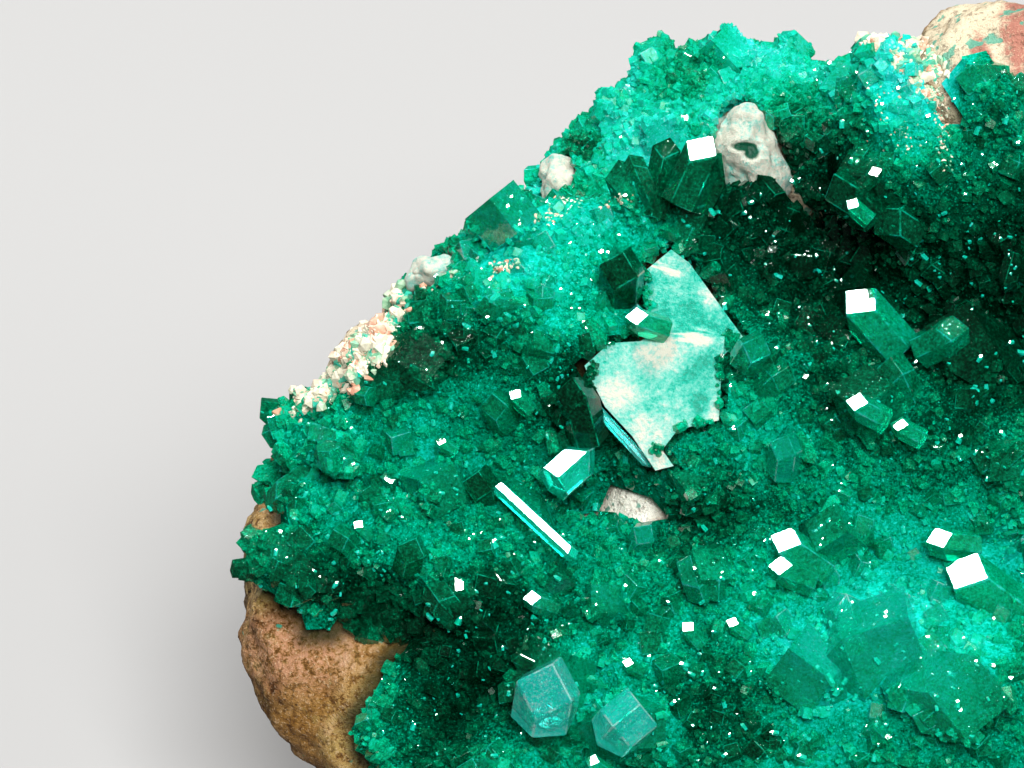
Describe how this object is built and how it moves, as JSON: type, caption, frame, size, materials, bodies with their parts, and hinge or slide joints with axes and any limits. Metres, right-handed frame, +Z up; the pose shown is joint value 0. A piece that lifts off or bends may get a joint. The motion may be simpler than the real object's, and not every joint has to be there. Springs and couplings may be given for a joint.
{
  "type": "dioptase on matrix mineral specimen",
  "caption": "Loose mineral specimen: a broken lump of brown rock with a flat base, crusted with green dioptase crystals and some white calcite, for display on a shelf.",
  "frame": {"origin": "middle of the specimen's plan, on its flat base", "axes": "+X to the right along the specimen's length, seen from the crystal side; +Y to the bare back; +Z up"},
  "size_m": [0.0496, 0.041, 0.0392],
  "materials": {
    "rock": "broken dolomite rock, dull and granular, pinkish brown with ochre and cream patches",
    "dioptase": "glassy emerald green crystal faces, see-through in thin places",
    "calcite": "white, translucent cleavage faces with a soft glassy lustre"
  },
  "bodies": {
    "root": {"matrix": "rock", "dioptase_druse": "dioptase", "dioptase_ridge": "dioptase", "calcite_plate": "calcite", "calcite_ridge": "calcite", "calcite_knob": "calcite", "calcite_rim": "calcite"}
  },
  "joints": []
}
